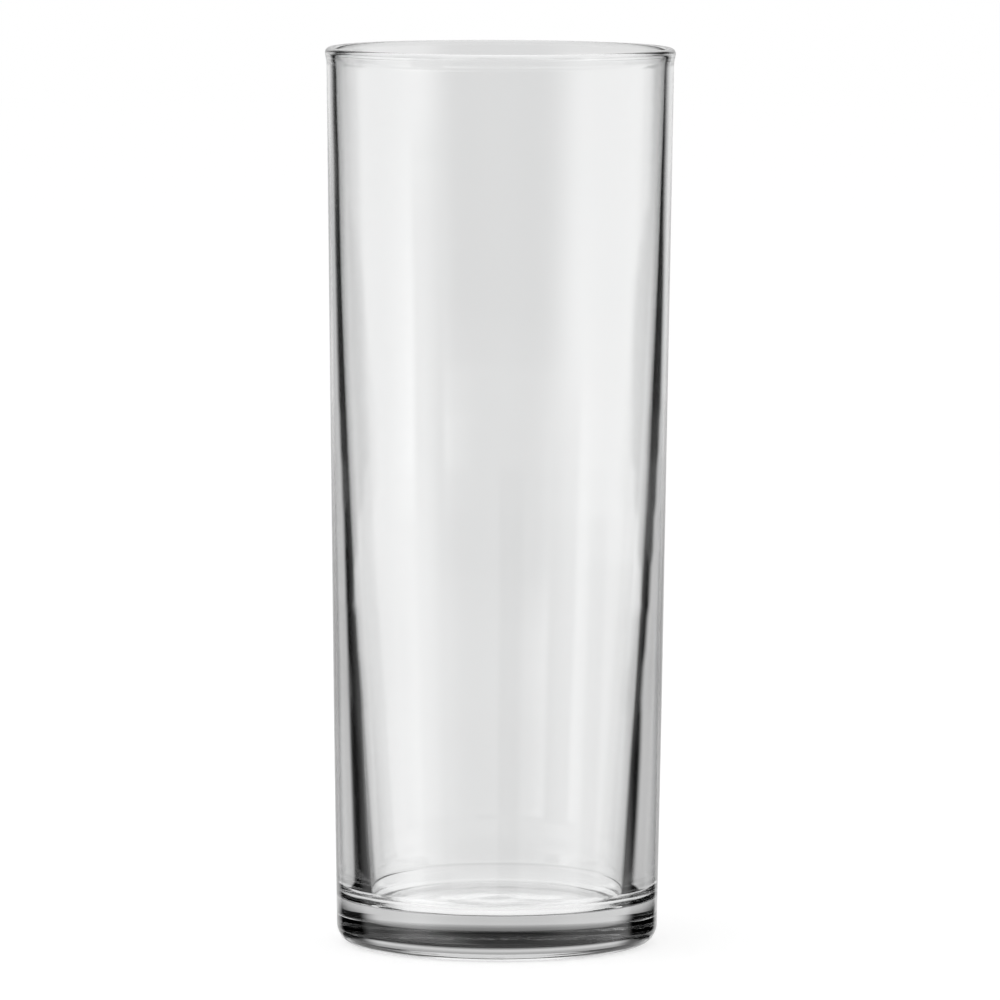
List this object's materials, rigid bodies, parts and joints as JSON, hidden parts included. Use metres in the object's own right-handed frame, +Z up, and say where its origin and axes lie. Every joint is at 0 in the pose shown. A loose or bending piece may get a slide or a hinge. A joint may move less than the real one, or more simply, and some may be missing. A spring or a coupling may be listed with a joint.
{
  "type": "zombie glass",
  "caption": "Tall straight-sided clear drinking glass with a beaded rim, a wall that thickens downwards, a heavy floor and a rounded heel.",
  "frame": {"origin": "centre of the foot ring, on the surface that the glass stands on", "axes": "+Z up along the axis of the glass; +X and +Y are free, because the glass is a body of revolution"},
  "size_m": [0.0634, 0.0634, 0.163],
  "materials": {
    "clear_glass": "fire-polished clear soda-lime glass"
  },
  "bodies": {
    "root": {"tumbler": "clear_glass"}
  },
  "joints": []
}
